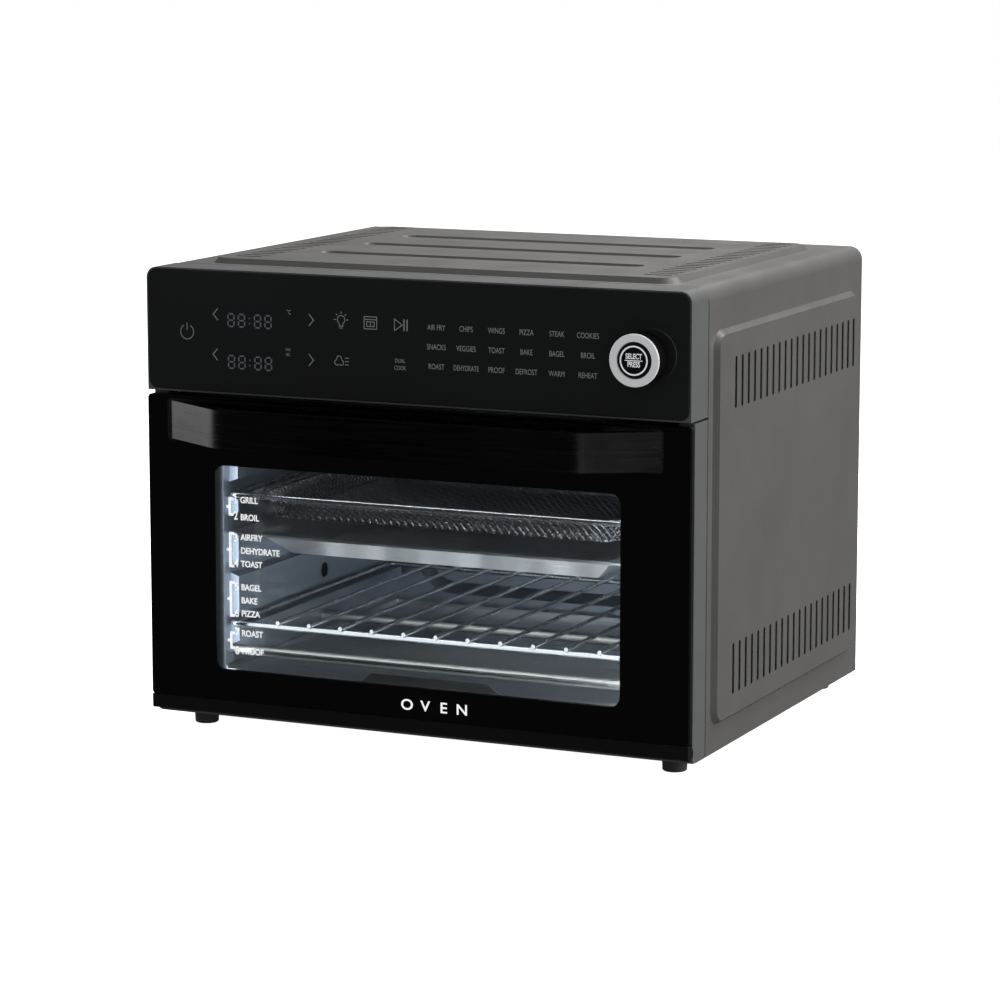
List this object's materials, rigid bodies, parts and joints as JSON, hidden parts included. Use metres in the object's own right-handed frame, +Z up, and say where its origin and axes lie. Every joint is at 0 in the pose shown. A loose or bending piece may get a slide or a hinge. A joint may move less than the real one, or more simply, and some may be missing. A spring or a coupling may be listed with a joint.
{
  "type": "toaster oven",
  "caption": "Countertop air-fry toaster oven: drop-down glass door with bowed handle, black control panel with dial, vented steel wrap, pull-out rack, pan, basket and crumb tray.",
  "frame": {"origin": "on the surface the oven stands on, at the middle of its width and of its depth with the handle", "axes": "+X to the right seen from the front, +Y from the door to the back, +Z up"},
  "size_m": [0.438, 0.397, 0.3514],
  "materials": {
    "housing_paint": "dark grey satin powder coat",
    "bezel_grey": "smooth satin grey moulding",
    "panel_glass": "black-backed gloss glass",
    "display_smoke": "smoked display window",
    "door_glass": "clear tempered glass",
    "mask_black": "black enamel print",
    "door_black": "black semi-gloss paint",
    "clear_glass": "clear glass",
    "handle_black": "black brushed anodising",
    "handle_trim": "black with bright cut edges",
    "cavity_steel": "aluminised sheet, cool grey",
    "heater_steel": "satin sheath",
    "pan_steel": "bright rolled sheet",
    "chrome_wire": "chrome-plated wire",
    "dial_metal": "satin machined face",
    "black_plastic": "gloss black",
    "zinc_steel": "zinc-plated sheet",
    "screw_steel": "plated fastener steel",
    "motor_metal": "motor laminations and cover",
    "ceramic": "white ceramic",
    "circuit_board": "green board",
    "foot_rubber": "dark rubber"
  },
  "bodies": {
    "oven": {"outer_wrap": "housing_paint", "back_panel": "housing_paint", "base_plate": "zinc_steel", "cord_gland": "black_plastic", "foot_screws": "screw_steel", "rear_screws": "screw_steel", "control_housing": "bezel_grey", "control_glass": "panel_glass", "displays": "display_smoke", "control_board": "circuit_board", "rotary_encoder": "screw_steel", "front_frame": "bezel_grey", "cavity_front_frame": "cavity_steel", "cavity_left_wall": "cavity_steel", "cavity_right_wall": "cavity_steel", "cavity_floor": "cavity_steel", "cavity_roof": "cavity_steel", "cavity_back_wall": "cavity_steel", "heater_insulators": "ceramic", "fan_guard": "cavity_steel", "fan_motor": "motor_metal", "motor_bracket": "zinc_steel", "lamp_lens": "clear_glass", "lamp_socket": "ceramic", "lamp_bulb": "clear_glass", "temperature_probe": "heater_steel", "thermal_cutoff": "black_plastic", "power_board": "circuit_board", "hinge_leaf_left": "zinc_steel", "hinge_leaf_right": "zinc_steel", "foot_front_left": "foot_rubber", "foot_front_right": "foot_rubber", "foot_rear_left": "foot_rubber", "foot_rear_right": "foot_rubber", "lower_heater_front": "heater_steel", "lower_heater_rear": "heater_steel", "upper_heater_front": "heater_steel", "upper_heater_rear": "heater_steel"},
    "door": {"door_rail": "door_black", "hinge_pins": "screw_steel", "door_glass": "door_glass", "door_mask": "mask_black", "door_front_pan": "door_black", "door_inner_pan": "door_black", "inner_glass": "clear_glass", "glass_clips": "screw_steel", "handle_bar": "handle_black", "handle_base": "handle_trim", "handle_screws": "screw_steel"},
    "dial": {"dial_knob": "black_plastic", "dial_ring": "dial_metal"},
    "button": {"select_button": "black_plastic"},
    "fan": {"fan_blade": "zinc_steel", "fan_shaft": "screw_steel", "fan_nut": "screw_steel"},
    "rack": {"wire_rack": "chrome_wire"},
    "pan": {"baking_pan": "pan_steel"},
    "basket": {"basket_frame": "chrome_wire", "basket_mesh": "chrome_wire"},
    "crumb_tray": {"crumb_tray": "pan_steel"}
  },
  "joints": [
    {"name": "door_hinge", "type": "hinge", "parent": "oven", "child": "door", "pos_m": [0, -0.158, 0.0204], "axis": [1, 0, 0], "range_deg": [0, 83], "stiffness_Nm_per_rad": 1.2, "springref_deg": -22.92},
    {"name": "dial_turn", "type": "hinge", "parent": "oven", "child": "dial", "pos_m": [0.1794, -0.1705, 0.3002], "axis": [0, 1, 0], "continuous": true},
    {"name": "button_press", "type": "slide", "parent": "oven", "child": "button", "axis": [0, 1, 0], "range_m": [0, 0.0015], "stiffness_N_per_m": 600},
    {"name": "fan_spin", "type": "hinge", "parent": "oven", "child": "fan", "pos_m": [0, 0.0175, 0.2364], "axis": [0, 0, 1], "continuous": true},
    {"name": "basket_slide", "type": "slide", "parent": "oven", "child": "basket", "axis": [0, -1, 0], "range_m": [0, 0.1958]},
    {"name": "pan_slide", "type": "slide", "parent": "oven", "child": "pan", "axis": [0, -1, 0], "range_m": [0, 0.1595]},
    {"name": "rack_slide", "type": "slide", "parent": "oven", "child": "rack", "axis": [0, -1, 0], "range_m": [0, 0.0799]},
    {"name": "crumb_tray_slide", "type": "slide", "parent": "oven", "child": "crumb_tray", "axis": [0, -1, 0], "range_m": [0, 0.0263]}
  ],
  "couplings": [
    {"joint": "basket_slide", "follows": "door_hinge", "m_per_rad": 0.135},
    {"joint": "pan_slide", "follows": "door_hinge", "m_per_rad": 0.11},
    {"joint": "rack_slide", "follows": "door_hinge", "m_per_rad": 0.055},
    {"joint": "crumb_tray_slide", "follows": "door_hinge", "m_per_rad": 0.018}
  ]
}
